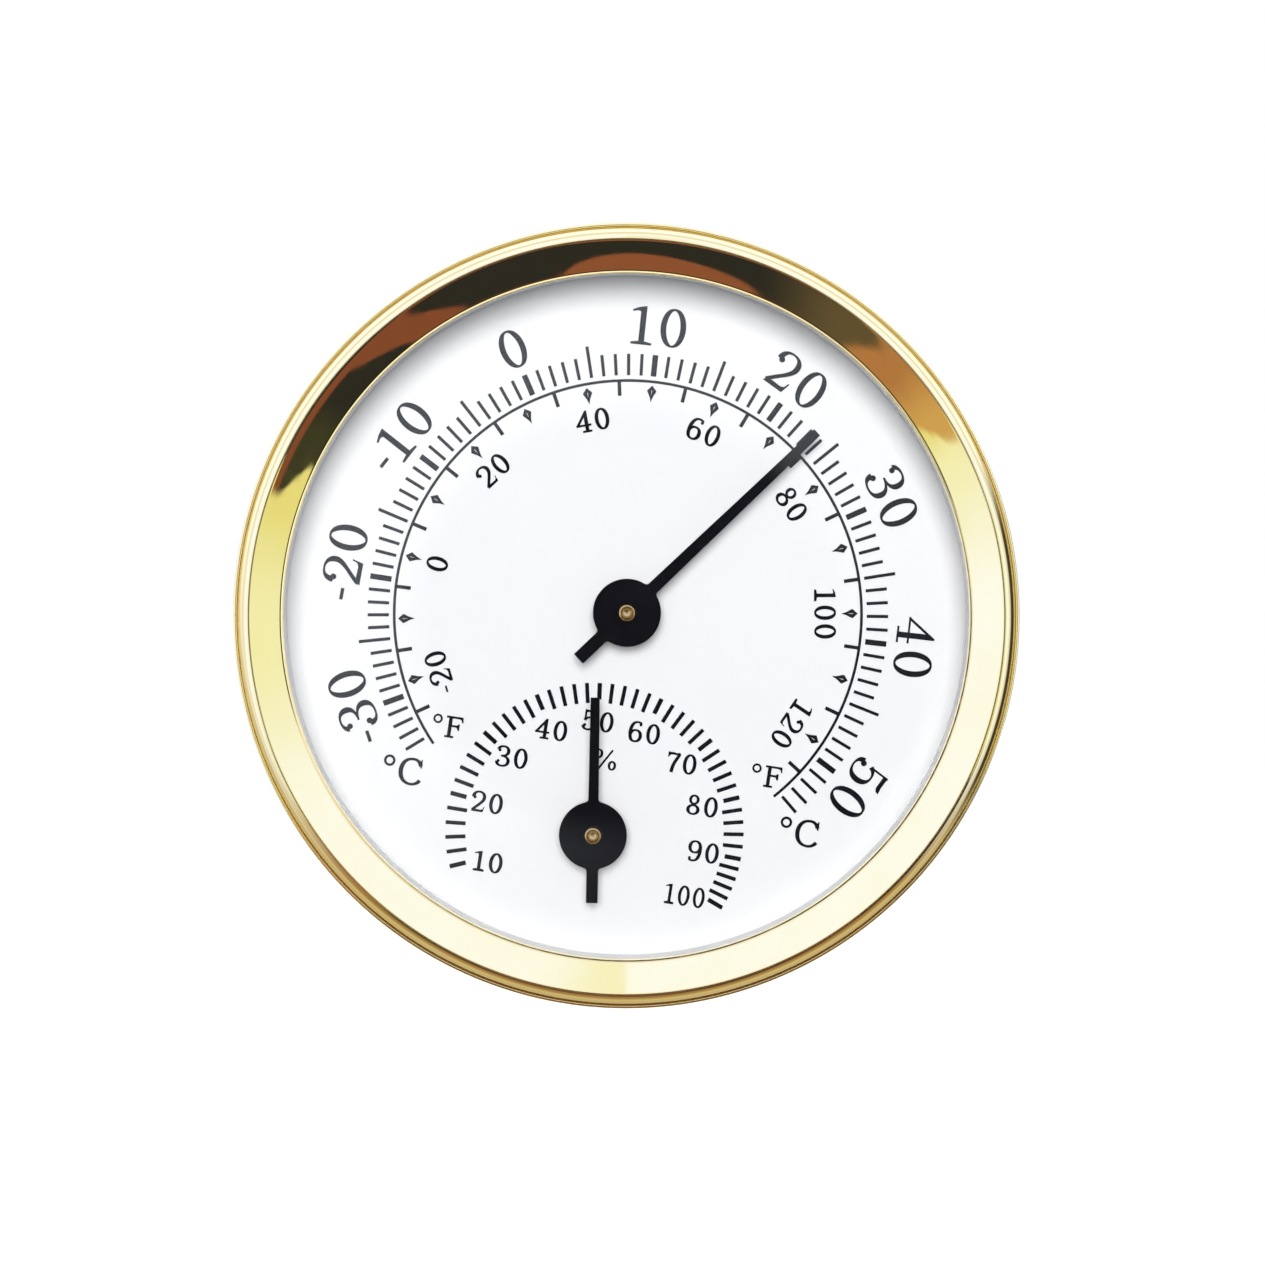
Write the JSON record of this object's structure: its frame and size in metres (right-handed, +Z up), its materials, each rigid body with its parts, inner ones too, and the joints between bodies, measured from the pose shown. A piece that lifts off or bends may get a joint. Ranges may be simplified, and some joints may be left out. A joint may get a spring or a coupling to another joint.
{
  "type": "dial thermometer and hygrometer",
  "caption": "Round wall dial with a thermometer scale in Celsius and Fahrenheit over a small relative-humidity scale, in a gold-coloured metal case behind a clear lens.",
  "frame": {"origin": "centre of the flat back face, where the case rests on the wall", "axes": "+Z up on the wall, +Y out of the back into the wall, and the dial faces -Y"},
  "size_m": [0.072, 0.015, 0.072],
  "materials": {
    "gold_metal": "bright gold-coloured polish, slightly hazed",
    "clear_lens": "clear and glossy",
    "white_plastic": "satin",
    "white_lacquer": "smooth white lacquer with dark printing",
    "steel": "zinc plated",
    "brass": "turned",
    "black_paint": "satin black",
    "bimetal": "rolled strip",
    "hygro_strip": "foil strip with a matte moisture-sensitive coating"
  },
  "bodies": {
    "case": {"case_shell": "gold_metal", "bezel_ring": "gold_metal", "lens": "clear_lens", "spacer_ring": "white_plastic", "dial_plate": "white_lacquer", "movement_plate": "steel", "temp_bridge": "steel", "temp_bridge_screw_left": "steel", "temp_bridge_screw_right": "steel", "temp_front_bush": "brass", "temp_rear_bush": "brass", "temp_coil_post": "brass", "temp_coil": "bimetal", "hum_bridge": "steel", "hum_bridge_screw_left": "steel", "hum_bridge_screw_right": "steel", "hum_front_bush": "brass"},
    "temp_movement": {"temp_pointer": "black_paint", "temp_pointer_boss": "brass", "temp_spindle": "brass", "temp_collet": "brass"},
    "hum_setting": {"hum_adjuster": "brass", "hum_friction_washer": "steel", "hum_adjuster_arm": "steel", "hum_coil_post": "brass", "hum_coil": "hygro_strip"},
    "hum_movement": {"hum_pointer": "black_paint", "hum_pointer_boss": "brass", "hum_spindle": "brass", "hum_collet": "brass"}
  },
  "joints": [
    {"name": "temp_reading", "type": "hinge", "parent": "case", "child": "temp_movement", "pos_m": [0, -0.01, 0.0004], "axis": [0, 1, 0], "range_deg": [-167.8, 93.3], "stiffness_Nm_per_rad": 0.0005, "deforming": ["temp_coil"]},
    {"name": "hum_set", "type": "hinge", "parent": "case", "child": "hum_setting", "pos_m": [0, -0.002, -0.0205], "axis": [0, 1, 0], "range_deg": [-20, 20]},
    {"name": "hum_reading", "type": "hinge", "parent": "hum_setting", "child": "hum_movement", "pos_m": [0, -0.01, -0.0205], "axis": [0, 1, 0], "range_deg": [-104.7, 119.7], "stiffness_Nm_per_rad": 0.0005, "deforming": ["hum_coil"]}
  ]
}
